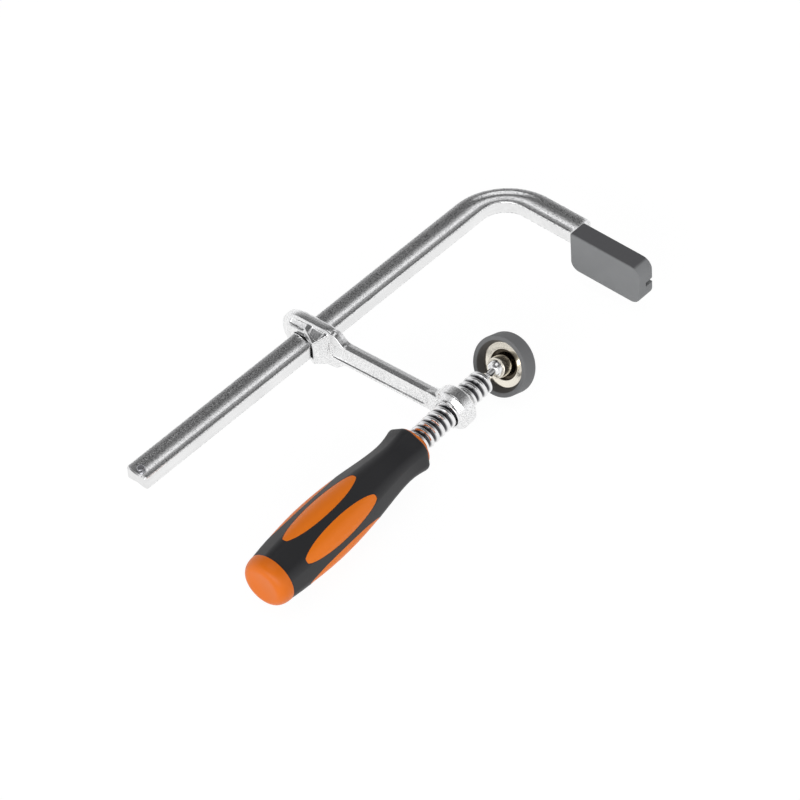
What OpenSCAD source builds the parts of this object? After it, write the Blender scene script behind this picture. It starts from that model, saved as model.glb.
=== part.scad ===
// Screw bar clamp: a bent, grooved rail with a forged fixed jaw, a sliding arm that
// cants to grip the rail, and a screw spindle with a two-colour handle and a ball-jointed pad.
// Millimetres. The origin is the centre of the fixed jaw's clamp face. +X runs along the
// rail, away from its free end, +Y from the jaw towards the rail, and +Z is up.

/* [Rail] */
// Width of the rail, across its wide grooved faces
rail_w = 16; // [14:0.5:18]
// Thickness of the rail
rail_t = 9.5; // [8.5:0.25:11]
// Rail from its free end to the plane of the fixed jaw's clamp face
rail_len = 301; // [290:1:420]
// Distance from the rail's centre line to the centre of the clamp face
jaw_reach = 96.75; // [90:0.25:110]
// Bevel along the rail's edges
rail_bevel = 1; // [0.6:0.1:1.4]
// Width of the groove rolled into each wide face
groove_w = 9.4; // [6:0.2:10]
// Depth of that groove
groove_d = 1.2; // [0.6:0.1:1.6]
// Inner radius of the bend between rail and fixed jaw
bend_inner_r = 17; // [12:1:22]
// Outer radius of that bend
bend_outer_r = 40; // [34:1:44]

/* [Fixed jaw] */
// Width of the jaw's leg, along the rail
leg_w = 16; // [12:0.2:17]
// How far the clamp face stands out from the inside of the leg
jaw_set = 8.5; // [6:0.25:10]

/* [Jaw cap] */
// Length of the cap, towards the rail
cap_len = 53.6; // [46:0.2:60]
// Height of the cap
cap_h = 28.4; // [24:0.2:32]
// Thickness of the cap, along the rail
cap_t = 12.7; // [11:0.1:14]
// Wall of the cap
cap_wall = 2; // [1.4:0.1:2.6]
// Corner radius of the cap's closed end
cap_corner = 7; // [4:0.5:9]
// Height of the relief slot in the cap's closed end
cap_slot_h = 3.4; // [2:0.2:5]
// Depth of that slot, from the cap's back
cap_slot_d = 6.5; // [3:0.5:8]

/* [Stop] */
// Diameter of the stop stud at the rail's free end
stop_d = 5; // [4:0.25:6]
// Distance from the free end to the stud's centre
stop_inset = 4.2; // [4:0.2:12]
// How far the stud's crown stands above the rail's wide face
stop_proud = 1.2; // [1:0.1:1.8]

/* [Sliding arm] */
// Distance from the clamp face to the arm's mid-plane on the rail
arm_pos = 151.5; // [140:0.5:200]
// Angle by which the released arm leans towards the fixed jaw
cant = 3.4; // [0:0.1:4]
// Distance from the rail's centre line to the spindle's axis
spindle_reach = 104; // [98:0.5:112]
// Length of the eye's window along the rail, on the throat side
eye_len = 19.3; // [16:0.1:22]
// Length of the window on the far side of the rail
eye_len_far = 15; // [12:0.5:16]
// Play of the window across the rail, on each side, at the canted rest
eye_play = 0.2; // [0.15:0.05:0.5]
// Play of the window over the rail's wide faces, on each side
eye_gap = 0.5; // [0.3:0.05:0.8]
// Reach of the eye's rim beyond the rail's centre line, away from the spindle
eye_far = 22; // [19:0.5:24]
// Reach of the rim towards the spindle
eye_near = 20.8; // [18:0.2:23]
// Half height of the rim
eye_top = 14.4; // [13:0.1:16]
// Thickness of the eye's rim and of the arm's beam
beam_t = 6.2; // [5:0.2:8]
// Height of the arm's beam at mid-length
beam_h = 15; // [13:0.5:18]
// Depth of the forged pockets in the beam
beam_pocket = 1.1; // [0.6:0.1:1.6]
// Border left round those pockets
beam_lip = 1.8; // [1.4:0.1:2.6]
// Outer radius of the boss round the spindle
boss_r = 13.3; // [12:0.1:15]
// Length of the boss, on the handle's side of the arm's mid-plane
boss_back = 6; // [5:0.5:8]
// Length of the boss, on the pad's side of the arm's mid-plane
boss_front = 8; // [6:0.5:9]

/* [Spindle] */
// Crest diameter of the thread
thread_d = 16; // [15:0.5:17]
// Pitch of the thread
pitch = 5; // [4.6:0.1:5.4]
// Depth of the thread
thread_depth = 1.7; // [1.3:0.1:1.9]
// Ball centre from the arm's mid-plane, along the spindle
ball_out = 41.9; // [34:0.1:50]
// Diameter of the ball
ball_d = 8.8; // [8:0.2:9.2]
// Diameter of the neck behind the ball
neck_d = 4.8; // [4.2:0.2:5.2]
// Full thread begins this far behind the ball's centre
thread_inset = 12.6; // [11.5:0.2:15]

/* [Handle] */
// Gap along the spindle between the boss and the handle's front collar
handle_gap = 31.4; // [30.2:0.1:40]
// Length of the black grip
grip_len = 123.8; // [110:0.2:140]
// Radius of the grip at the butt
grip_butt_r = 16; // [15:0.1:17]
// Radius of the grip at its belly
grip_belly_r = 19.2; // [18:0.1:20]
// Radius of the grip at its waist
grip_waist_r = 13.8; // [13.4:0.1:15]
// Radius of the grip at its front flare
grip_flare_r = 15.7; // [15:0.1:17]
// Radius of the hard core inside the grip
core_r = 11; // [9.5:0.1:11.5]
// Length of the core's domed butt
butt_len = 8.6; // [7:0.2:12]
// Radius of the core's front collar
collar_r = 13.2; // [12.6:0.1:13.6]
// Length of that collar
collar_len = 2; // [1.6:0.2:4]
// Number of inlays that show through the grip
inlay_count = 6; // [5:1:6]
// Length of an inlay
inlay_len = 62; // [50:0.5:66]
// Width of an inlay
inlay_w = 13.5; // [9:0.5:15]

/* [Pad] */
// Outer radius of the rubber cap
pad_r = 18.9; // [18:0.1:20]
// Thickness of the rubber cap
pad_t = 11.2; // [10.4:0.1:13]
// Rubber cap's open rim, in front of the ball's centre
pad_rim = 2.4; // [2:0.1:4]
// Width of that rim
rim_w = 2.8; // [2.2:0.1:3.4]
// Thickness of the cap's closed face
pad_face_t = 2; // [1.5:0.1:2.4]
// Radius of the steel pressure plate
plate_r = 15.4; // [14.6:0.1:16]
// Thickness of the plate's flange
plate_t = 4.5; // [4:0.1:5]
// Outer radius of the annular recess round the plate's hub
recess_r = 9.4; // [8.6:0.1:10]
// Outer radius of the hub at its lip
hub_r = 6.4; // [6.2:0.1:6.8]
// Lip of the hub, behind the ball's centre
lip_back = 1.1; // [0.6:0.1:1.6]
// Wall of the split seat ring between ball and hub
seat_wall = 0.75; // [0.6:0.05:0.9]
// Angle by which the pad hangs forward on its ball
pad_tilt = 23; // [0:1:25]

/* [Hidden] */

$fn = 72;
eps = 0.01;
fit = 0.05;             // radial clearance of a turned fit
cap_fit = 0.1;          // clearance of the jaw inside its cap
bend_steps = 14;
groove_steps = 6;
corner_steps = 6;
thread_seg = 24;        // rings in one turn of the thread

steel = [0.62, 0.63, 0.65];
bright = [0.80, 0.81, 0.83];
nickel = [0.78, 0.75, 0.68];
cap_grey = [0.36, 0.36, 0.37];
rubber_grey = [0.33, 0.33, 0.34];
orange = [0.93, 0.42, 0.12];
black = [0.10, 0.10, 0.11];

// Rail and fixed jaw
leg_in = jaw_set;
leg_out = jaw_set + leg_w;
rail_in = jaw_reach - rail_w / 2;
rail_out = jaw_reach + rail_w / 2;
cap_mouth = cap_len / 2;
palm_in = cap_wall + cap_fit;
palm_out = cap_t - cap_wall - cap_fit;
palm_h = cap_h - 2 * (cap_wall + cap_fit);
palm_end = -cap_len / 2 + cap_wall + cap_fit;
palm_corner = cap_corner - cap_wall;
shoulder = 8;           // length over which the leg is forged out into the palm

// Sliding arm, in its own frame: origin on the rail's centre line, beam along -Y
window_w = rail_w / cos(cant) + eye_len_far * tan(cant) + 2 * eye_play;
window_h = rail_t + 2 * eye_gap;
mouth_top = window_h / 2 + 3;       // half height of the collar's end faces
mouth_front = eye_len_far / 2;      // collar's end, on the pad's side
mouth_back = eye_len - mouth_front; // collar's longest reach, on the handle's side
collar_drop = 3;                    // fall from the rim to where the collar leaves it
draft = 1.2;                        // fall of the rim from its parting line to its edges
beam_start = eye_near - 3;
beam_flare_len = 9;
beam_flare_h = 6;       // extra height of the beam where it leaves the eye
beam_end = spindle_reach - boss_r + 2;
pocket_start = eye_near + 2.5;
pocket_end = spindle_reach - boss_r - 3;
boss_ring_r = boss_r - 3.5;
boss_chamfer = 1.8;

// Spindle, along X in the arm's frame
thread_r = thread_d / 2;
root_r = thread_r - thread_depth;
bore_r = thread_r + fit;
crest_w = 0.34 * pitch;
flank_w = 0.16 * pitch;
ball_r = ball_d / 2;
neck_r = neck_d / 2;
thread_front = ball_out - thread_inset;
collar_front = -boss_back - handle_gap;
grip_front = collar_front - collar_len;
grip_back = grip_front - grip_len;
butt_tip = grip_back - butt_len;
shank_r = root_r - 0.3;
tang_r = 5.2;
tang_flat = 7.6;        // across the two flats that key the tang in the core
tang_front = grip_front - 24;
tang_back = grip_back + 20;

// Handle profile, measured from the butt end of the grip
belly_at = 0.35 * grip_len;
waist_at = 0.865 * grip_len;
front_round = 2.2;
inlay_mid = 0.365 * grip_len;
inlay_roll = -4.3;
inlay_skin = 1.2;       // depth of the step behind each inlay's edge

// Pad, along X from the ball's centre
pad_face = pad_rim + pad_t;
plate_front = pad_face - pad_face_t;
plate_back = plate_front - plate_t;
seat_out = ball_r + fit + seat_wall;
socket_r = seat_out + fit;
seat_back = 0.5 * ball_r;
seat_front = 0.3 * ball_r;
hub_base_r = hub_r + 0.8;
recess_floor = plate_back + 0.6 * plate_t;
rim_in = pad_r - rim_w;

// A smooth step from 0 to 1
function ease(f) = (1 - cos(180 * f)) / 2;

// Points of an arc, in degrees
function arc(c, r, a0, a1, steps) =
    [for (k = [0:steps]) let (a = a0 + (a1 - a0) * k / steps) [c[0] + r * cos(a), c[1] + r * sin(a)]];

// Rectangle with round corners, half sizes hu and hv, corner radii in order from +u -v
function round_box(hu, hv, r) = concat(
    arc([hu - r[0], -hv + r[0]], r[0], -90, 0, corner_steps),
    arc([hu - r[1], hv - r[1]], r[1], 0, 90, corner_steps),
    arc([-hu + r[2], hv - r[2]], r[2], 90, 180, corner_steps),
    arc([-hu + r[3], -hv + r[3]], r[3], 180, 270, corner_steps));

function middle(ring) = [for (p = ring) 1] * ring / len(ring);

// Solid through a row of closed rings with equal numbers of points
module loft(rings) {
    n = len(rings[0]);
    m = len(rings);
    sides = [for (i = [0:m - 2]) for (j = [0:n - 1])
        let (a = i * n + j, b = a + n, c = (i + 1) * n + (j + 1) % n, d = i * n + (j + 1) % n)
        each [[a, b, c], [a, c, d]]];
    front = [for (j = [0:n - 1]) [m * n, j, (j + 1) % n]];
    back = [for (j = [0:n - 1]) [m * n + 1, (m - 1) * n + (j + 1) % n, (m - 1) * n + j]];
    polyhedron(
        points = concat([for (r = rings) each r], [middle(rings[0]), middle(rings[m - 1])]),
        faces = concat(sides, front, back));
}

// Turned solid about the X axis, from [x, radius] points
module turned(points) {
    rotate([0, 90, 0]) rotate_extrude() polygon([for (p = points) [p[1], p[0]]]);
}

// Plate from a [y, z] outline, between two places along X
module plate(outline, x0, x1) {
    translate([x0, 0, 0]) rotate([90, 0, 90]) linear_extrude(x1 - x0) polygon(outline);
}

// Screw-thread rod about the X axis, as four helical bands; its crest passes +Y where x is a
// whole number of pitches. The stepped ends are cut off by the outline it is used inside.
module thread_rod(x0, turns, r_root, r_crest, root_w, top_w) {
    last = turns * thread_seg;
    rows = [[-root_w / 2, r_root], [-top_w / 2, r_crest], [top_w / 2, r_crest], [root_w / 2, r_root]];
    start = last * 4 + 4;
    bands = [for (k = [0:last - 1]) for (j = [0:2])
        let (a = 4 * k + j) each [[a, a + 1, a + 5], [a, a + 5, a + 4]]];
    roots = [for (k = [0:last - thread_seg - 1])
        let (a = 4 * k + 3, b = 4 * (k + thread_seg)) each [[a, b, b + 4], [a, b + 4, a + 4]]];
    front = concat([for (k = [0:thread_seg - 1]) [start, 4 * k, 4 * k + 4]],
                   [[start, 4 * thread_seg, 3], [start, 3, 2], [start, 2, 1], [start, 1, 0]]);
    tail = 4 * (last - thread_seg) + 3;
    back = concat([for (k = [0:thread_seg - 1]) [start + 1, tail + 4 * k + 4, tail + 4 * k]],
                  [[start + 1, 4 * last + 2, 4 * last + 3], [start + 1, 4 * last + 1, 4 * last + 2],
                   [start + 1, 4 * last, 4 * last + 1], [start + 1, tail, 4 * last]]);
    polyhedron(
        points = concat(
            [for (k = [0:last]) let (x = x0 + pitch * k / thread_seg, a = 360 * x / pitch)
                each [for (p = rows) [x + p[0], p[1] * cos(a), p[1] * sin(a)]]],
            [[x0 - root_w / 2, 0, 0], [x0 + pitch * turns + root_w / 2, 0, 0]]),
        faces = concat(bands, roots, front, back));
}

// Rail

function groove(w, top, d) =
    [for (k = [0:groove_steps]) let (f = 1 - 2 * k / groove_steps) [f * w / 2, top - d * (1 - f * f)]];

// Section of the bar as [across, up], with groove depth d in both wide faces
function bar_section(w, t, d, bevel) = concat(
    [[w / 2, -t / 2 + bevel], [w / 2, t / 2 - bevel], [w / 2 - bevel, t / 2]],
    groove(min(groove_w, w - 2 * bevel - 1), t / 2, d),
    [[-w / 2 + bevel, t / 2], [-w / 2, t / 2 - bevel], [-w / 2, -t / 2 + bevel], [-w / 2 + bevel, -t / 2]],
    [for (p = groove(min(groove_w, w - 2 * bevel - 1), t / 2, d)) [-p[0], -p[1]]],
    [[w / 2 - bevel, -t / 2]]);

// One ring of the bar between a point on its inner edge and one on its outer edge
function bar_ring(inner, outer, t, d, bevel = rail_bevel) =
    let (w = norm(outer - inner))
    [for (p = bar_section(w, t, d, bevel))
        let (q = inner + (outer - inner) * (p[0] / w + 0.5)) [q[0], q[1], p[1]]];

function leg_ring(x0, x1, y, t, d, bevel = rail_bevel) = bar_ring([x0, y], [x1, y], t, d, bevel);

function bend_ring(a) =
    bar_ring([leg_in - bend_inner_r + bend_inner_r * sin(a), rail_in - bend_inner_r + bend_inner_r * cos(a)],
             [leg_out - bend_outer_r + bend_outer_r * sin(a), rail_out - bend_outer_r + bend_outer_r * cos(a)],
             rail_t, groove_d);

module rail() {
    chamfer = 0.9;
    palm_w = palm_out - palm_in;
    set = leg_in - palm_in;
    color(steel) difference() {
        loft(concat(
            [bar_ring([-rail_len, rail_in + chamfer], [-rail_len, rail_out - chamfer],
                      rail_t - 2 * chamfer, groove_d / 2, rail_bevel / 2),
             bar_ring([-rail_len + chamfer, rail_in], [-rail_len + chamfer, rail_out], rail_t, groove_d)],
            [for (k = [0:bend_steps]) bend_ring(90 * k / bend_steps)],
            [leg_ring(leg_in, leg_out, cap_mouth + shoulder, rail_t, groove_d),
             leg_ring(leg_in - 0.15 * set, leg_out - 0.6, cap_mouth + 0.6 * shoulder,
                      rail_t + 0.1 * palm_h, 0.6 * groove_d),
             leg_ring(leg_in - 0.5 * set, leg_out - 2.6, cap_mouth + 0.3 * shoulder,
                      rail_t + 0.3 * palm_h, 0.2 * groove_d),
             leg_ring(palm_in, palm_out + 3.4, cap_mouth + 0.1 * shoulder, palm_h - 2, 0),
             leg_ring(palm_in, palm_out, cap_mouth + 0.2, palm_h, 0),
             leg_ring(palm_in, palm_out, palm_end + palm_corner, palm_h, 0)],
            [for (k = [1:corner_steps])
                let (a = 90 * k / corner_steps)
                leg_ring(palm_in, palm_out, palm_end + palm_corner * (1 - sin(a)),
                         palm_h - 2 * palm_corner * (1 - cos(a)), 0.05)]));
        // seat of the stop stud
        translate([-rail_len + stop_inset, jaw_reach, 0])
            cylinder(r = stop_d / 2, h = rail_t + 2, center = true);
    }
}

// Riveted stud that keeps the arm on the rail, with a crown above each wide face
module stop_stud() {
    crown_r = stop_d / 2;
    color(steel) translate([-rail_len + stop_inset, jaw_reach, 0]) {
        cylinder(r = crown_r, h = rail_t + 0.4, center = true);
        for (side = [0, 1])
            mirror([0, 0, side]) translate([0, 0, rail_t / 2 + 0.2])
                intersection() {
                    translate([0, 0, -crown_r * 1.5 + stop_proud - 0.2]) sphere(r = crown_r * 1.5);
                    cylinder(r = crown_r, h = stop_proud);
                }
    }
}

module jaw_cap() {
    y_end = cap_len / 2;
    outline = round_box(y_end, cap_h / 2, [6, 1.2, cap_corner, cap_corner]);
    cavity_hy = y_end - cap_wall;
    cavity_hz = cap_h / 2 - cap_wall;
    cavity = round_box(cavity_hy, cavity_hz, [0.5, 0.5, palm_corner, palm_corner]);
    color(cap_grey) difference() {
        plate(outline, 0, cap_t);
        // pocket for the palm, open towards the rail
        plate(cavity, cap_wall, cap_t - cap_wall);
        translate([cap_wall, 0, -cavity_hz]) cube([cap_t - 2 * cap_wall, y_end + 1, 2 * cavity_hz]);
        // relief slot through the closed end, open at the back
        translate([cap_t - cap_slot_d, -y_end - 1, -cap_slot_h / 2 - 1.2])
            cube([cap_slot_d + 1, cap_wall + 1.5, cap_slot_h]);
    }
}

// Sliding arm

module in_arm() {
    translate([-arm_pos, jaw_reach, 0]) rotate([0, 0, cant]) children();
}

module on_spindle() {
    in_arm() translate([0, -spindle_reach, 0]) children();
}

// Rim of the eye as [y, z], drawn in by d all round
function rim(d) =
    let (f = eye_far - d, n = eye_near - d, t = eye_top - d,
         half = [[f, 0], [f - 0.2, 0.25 * t], [f - 1.7, 0.53 * t], [f - 4.5, 0.77 * t], [f - 8.5, 0.92 * t],
                 [f - 13, 0.985 * t], [2, t], [-6, t], [-n + 8, 0.985 * t], [-n + 4.5, 0.91 * t],
                 [-n + 1.6, 0.75 * t], [-n, 0.55 * t]])
    concat(half, [for (k = [len(half) - 1:-1:1]) [half[k][0], -half[k][1]]]);

// Half of the eye's collar: from the rim, out to the mouth's outline in plan
module collar(side, mouth) {
    hull() {
        plate([for (p = rim(collar_drop)) if (side * p[0] > -7) p], -beam_t / 2, beam_t / 2);
        linear_extrude(2 * mouth_top, center = true) polygon(mouth);
    }
}

// Eye: a drafted rim, and a collar round the window that reaches furthest on the throat side
// towards the handle
module eye() {
    hull() {
        plate(rim(0), -0.5, 0.5);
        plate(rim(draft), -beam_t / 2, beam_t / 2);
    }
    collar(1, [[-mouth_front, 11.5], [-mouth_front, -0.5], [mouth_front, -0.5], [mouth_front, 11.5]]);
    collar(-1, [[-mouth_front, 0], [-mouth_back, -9], [-mouth_back + 2, -13.5], [mouth_front - 1.5, -14],
                [mouth_front, -9.5], [mouth_front, 0]]);
}

// Forged pockets in the collar's four sloping faces, on the far half
module eye_pockets() {
    high_z = eye_top - collar_drop;
    slope = atan2(mouth_front - beam_t / 2, high_z - mouth_top);
    for (side = [0, 1], end = [0, 1])
        mirror([0, 0, side]) mirror([end, 0, 0])
            translate([(mouth_front + beam_t / 2) / 2, 7.2, (high_z + mouth_top) / 2])
                rotate([0, 90 - slope, 0]) translate([-1.9, -5.6, -1]) cube([3.8, 11.2, 4]);
}

module beam() {
    flare = [for (k = [0:6]) let (f = k / 6)
        [-beam_start - beam_flare_len * f, beam_h / 2 + beam_flare_h * (1 - ease(f))]];
    top = concat(flare, [[-beam_end, beam_h / 2 - 0.3], [-spindle_reach, beam_h / 2 - 0.3]]);
    plate(concat(top, [for (k = [len(top) - 1:-1:0]) [top[k][0], -top[k][1]]]), -beam_t / 2, beam_t / 2);
}

module beam_pockets() {
    hy = (pocket_end - pocket_start) / 2;
    hz = beam_h / 2 - beam_lip;
    outline = [for (p = round_box(hy, hz, [5, 5, 3, 3])) [p[0] - (pocket_start + pocket_end) / 2, p[1]]];
    for (end = [0, 1])
        mirror([end, 0, 0]) plate(outline, beam_t / 2 - beam_pocket, beam_t / 2 + 1);
}

// Web that spreads the beam into the boss
module boss_web() {
    hull() {
        translate([0, -beam_end + 9, 0]) cube([beam_t, 1, beam_h - 1], center = true);
        translate([(boss_front - boss_back) / 2, -spindle_reach, 0])
            rotate([0, 90, 0]) cylinder(r = beam_h / 2, h = 9.4, center = true, $fn = 32);
    }
}

module sliding_arm() {
    color(bright) in_arm() {
        difference() {
            union() {
                eye();
                beam();
                boss_web();
                translate([0, -spindle_reach, 0]) turned([
                    [-boss_back, 0], [-boss_back, boss_ring_r - 0.5], [-boss_back + 0.5, boss_ring_r],
                    [-boss_back + 1, boss_ring_r], [-boss_back + 3.6, boss_r],
                    [boss_front - boss_chamfer, boss_r], [boss_front, boss_r - boss_chamfer], [boss_front, 0]]);
            }
            cube([2 * eye_len, window_w, window_h], center = true);
            eye_pockets();
            beam_pockets();
            translate([0, -spindle_reach, 0]) rotate([0, 90, 0])
                cylinder(r = bore_r, h = boss_back + boss_front + 20, center = true);
        }
    }
}

// Spindle and handle

module spindle() {
    rod_back = collar_front + 0.6;
    rod_turns = ceil((thread_front - rod_back) / pitch) + 2;
    rod_start = pitch * floor(rod_back / pitch) - pitch;
    color(bright) on_spindle() {
        translate([ball_out, 0, 0]) {
            sphere(r = ball_r);
            turned([[-thread_inset, 0], [-thread_inset, root_r - 1], [-thread_inset + 1.4, neck_r + 1.2],
                    [-thread_inset + 3, neck_r + 0.3], [-thread_inset + 4.6, neck_r], [0, neck_r], [0, 0]]);
        }
        intersection() {
            thread_rod(rod_start, rod_turns, root_r, thread_r, crest_w + 2 * flank_w, crest_w);
            turned([[rod_back, 0], [rod_back, root_r], [rod_back + thread_depth + 0.6, thread_r + 0.6],
                    [thread_front - 1.4, thread_r + 0.6], [thread_front, root_r - 0.2], [thread_front, 0]]);
        }
        difference() {
            turned([[tang_back, 0], [tang_back, tang_r - 0.6], [tang_back + 0.6, tang_r], [tang_front, tang_r],
                    [tang_front, shank_r], [rod_back, shank_r], [rod_back, 0]]);
            for (side = [0, 1])
                mirror([0, 0, side])
                    translate([tang_back - 1, -tang_r - 1, tang_flat / 2])
                        cube([tang_front - tang_back - 8, 2 * tang_r + 2, tang_r]);
        }
    }
}

// Radius of the grip at a distance from its butt end
function grip_r(s) =
    s < belly_at ? grip_butt_r + (grip_belly_r - grip_butt_r) * sin(90 * s / belly_at) :
    s < waist_at ? grip_belly_r + (grip_waist_r - grip_belly_r)
        * ease(pow((s - belly_at) / (waist_at - belly_at), 1.5)) :
    grip_waist_r + (grip_flare_r - grip_waist_r) * ease(pow((s - waist_at) / (grip_len - waist_at), 1.2));

grip_steps = 30;
function grip_line() = concat(
    [for (k = [0:grip_steps]) let (s = (grip_len - front_round) * k / grip_steps) [grip_back + s, grip_r(s)]],
    [for (a = [30:30:90])
        [grip_front - front_round * (1 - sin(a)), grip_r(grip_len) - front_round * (1 - cos(a))]]);

// Prisms in which the inlays stand, one for each face of the grip
module inlay_prisms() {
    hw = inlay_w / 2;
    hl = inlay_len / 2;
    steps = 12;
    tip = 76;           // angle at which the ends are cut off blunt
    side = [for (k = [0:steps]) let (a = tip * (2 * k / steps - 1))
        [hl * sin(a) / sin(tip), hw * pow(cos(a), 1.1)]];
    outline = concat(side, [for (k = [steps:-1:0]) [side[k][0], -side[k][1]]]);
    for (k = [0:inlay_count - 1])
        rotate([inlay_roll + 360 * k / inlay_count, 0, 0])
            translate([grip_back + inlay_mid, 0, core_r - 0.5])
                linear_extrude(grip_belly_r) polygon(outline);
}

// Hard orange core: butt, sleeve round the tang, inlays and front collar in one moulding
module handle_core() {
    dome = [for (k = [0:9]) let (a = 90 * k / 9) [grip_back - butt_len * sin(a), grip_butt_r * (0.5 + 0.5 * cos(a))]];
    color(orange) on_spindle() difference() {
        union() {
            turned(concat([[grip_back, 0]], dome, [[butt_tip, 0]]));
            turned([[grip_back - eps, 0], [grip_back - eps, core_r], [grip_front, core_r], [grip_front, collar_r],
                    [collar_front - 0.6, collar_r], [collar_front, collar_r - 0.6], [collar_front, 0]]);
            intersection() {
                turned(concat([[grip_back, 0]], grip_line(), [[grip_front, 0]]));
                inlay_prisms();
            }
        }
        translate([tang_back - 1, 0, 0]) rotate([0, 90, 0])
            cylinder(r = tang_r + fit, h = tang_front - tang_back + 2);
        translate([tang_front - fit, 0, 0]) rotate([0, 90, 0])
            cylinder(r = shank_r + fit, h = collar_front - tang_front + 2);
    }
}

// Soft black grip moulded over the core
module handle_grip() {
    color(black) on_spindle() difference() {
        turned(concat([[grip_back, core_r]], grip_line(), [[grip_front, core_r]]));
        inlay_prisms();
    }
}

// Pad

module on_ball() {
    on_spindle() translate([ball_out, 0, 0]) children();
}

module on_pad() {
    on_ball() rotate([0, pad_tilt, 0]) children();
}

// Split ring, spherical inside and out, that keeps the ball in the hub
module ball_seat() {
    color(bright) on_ball() difference() {
        intersection() {
            sphere(r = seat_out);
            translate([-seat_back, -seat_out, -seat_out]) cube([seat_back + seat_front, 2 * seat_out, 2 * seat_out]);
        }
        sphere(r = ball_r + fit);
        // the split
        translate([-seat_back - 1, -0.6, 0]) cube([seat_back + seat_front + 2, 1.2, seat_out + 1]);
    }
}

module pressure_plate() {
    mouth = acos(-lip_back / socket_r);
    socket = arc([0, 0], socket_r, 0, mouth, 12);
    color(nickel) on_pad() turned(concat(socket, [
        [-lip_back, hub_r - 0.5], [-lip_back + 0.5, hub_r], [-lip_back + 1.4, hub_r],
        [recess_floor, hub_base_r], [recess_floor, recess_r], [plate_back + 0.5, recess_r],
        [plate_back, recess_r + 0.5], [plate_back, plate_r], [plate_front, plate_r], [plate_front, 0]]));
}

// Rubber cap that grips the plate's edge, with a flat clamp face
module pad_cap() {
    color(rubber_grey) on_pad() turned([
        [pad_rim + 0.5, rim_in], [pad_rim, rim_in + 0.5], [pad_rim, pad_r - 0.6], [pad_rim + 0.6, pad_r],
        [pad_face - 1.2, pad_r], [pad_face, pad_r - 1.2], [pad_face, 0], [plate_front, 0],
        [plate_front, plate_r], [plate_back, plate_r], [plate_back, plate_r - 1.7]]);
}

rail();
stop_stud();
jaw_cap();
sliding_arm();
ball_seat();
spindle();
handle_core();
handle_grip();
pressure_plate();
pad_cap();
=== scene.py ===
import math

import bmesh
import bpy
from mathutils import Matrix, Vector


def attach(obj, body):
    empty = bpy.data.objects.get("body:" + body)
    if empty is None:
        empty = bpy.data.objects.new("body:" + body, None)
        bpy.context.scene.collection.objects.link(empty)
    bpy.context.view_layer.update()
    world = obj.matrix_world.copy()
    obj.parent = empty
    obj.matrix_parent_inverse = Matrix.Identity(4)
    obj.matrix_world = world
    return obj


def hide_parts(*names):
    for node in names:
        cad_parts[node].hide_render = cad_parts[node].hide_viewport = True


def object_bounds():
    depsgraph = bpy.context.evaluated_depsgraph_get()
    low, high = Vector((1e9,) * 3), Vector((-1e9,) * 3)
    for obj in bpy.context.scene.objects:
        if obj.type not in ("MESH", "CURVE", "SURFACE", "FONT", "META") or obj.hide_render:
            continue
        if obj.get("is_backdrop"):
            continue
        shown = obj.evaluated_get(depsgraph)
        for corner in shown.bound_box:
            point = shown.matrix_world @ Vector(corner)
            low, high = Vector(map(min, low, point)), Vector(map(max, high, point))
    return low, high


# Screw bar clamp lying on its side, in the CAD's frame. Lengths in the settings are millimetres,
# except in the studio.
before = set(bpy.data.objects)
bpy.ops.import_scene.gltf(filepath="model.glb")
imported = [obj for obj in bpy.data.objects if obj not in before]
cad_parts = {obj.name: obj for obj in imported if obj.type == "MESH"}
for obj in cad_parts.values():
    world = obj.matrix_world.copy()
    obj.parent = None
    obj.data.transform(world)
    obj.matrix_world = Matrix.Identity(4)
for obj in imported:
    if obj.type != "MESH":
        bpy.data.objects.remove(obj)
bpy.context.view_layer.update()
mm = 0.001
hair = 0.01 * mm  # less than this counts as nothing

# The arm leans on the rail by the cant and carries the screw, and the pad hangs on the ball
layout = {
    "armPlace": (-151.5, 96.75),
    "cant": math.radians(3.4),
    "spindleReach": 104.0,
    "ballOut": 41.9,
    "padTilt": math.radians(23),
}
armFrame = (Matrix.Translation((layout["armPlace"][0] * mm, layout["armPlace"][1] * mm, 0))
            @ Matrix.Rotation(layout["cant"], 4, "Z"))
screwFrame = armFrame @ Matrix.Translation((0, -layout["spindleReach"] * mm, 0))
padFrame = (screwFrame @ Matrix.Translation((layout["ballOut"] * mm, 0, 0))
            @ Matrix.Rotation(layout["padTilt"], 4, "Y"))


# Helpers that build, cut and place meshes

def objectMode():
    if bpy.context.mode != "OBJECT":
        bpy.ops.object.mode_set(mode="OBJECT")
    bpy.ops.object.select_all(action="DESELECT")


def activate(piece):
    objectMode()
    piece.select_set(True)
    bpy.context.view_layer.objects.active = piece


def edit(piece):
    activate(piece)
    bpy.ops.object.mode_set(mode="EDIT")
    bpy.ops.mesh.select_mode(type="VERT")


def pick(test, kind="VERT"):
    # selects the vertices that pass the test, or with "EDGE" the edges whose two ends do
    bpy.ops.mesh.select_mode(type=kind)
    bpy.ops.mesh.select_all(action="DESELECT")
    shape = bmesh.from_edit_mesh(bpy.context.object.data)
    if kind == "VERT":
        for vert in shape.verts:
            vert.select_set(test(vert.co))
    else:
        for edge in shape.edges:
            edge.select_set(test(edge.verts[0].co, edge.verts[1].co))
    shape.select_flush_mode()
    bmesh.update_edit_mesh(bpy.context.object.data)


def named(name):
    piece = bpy.context.object
    piece.name = name
    piece.data.name = name
    return piece


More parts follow.
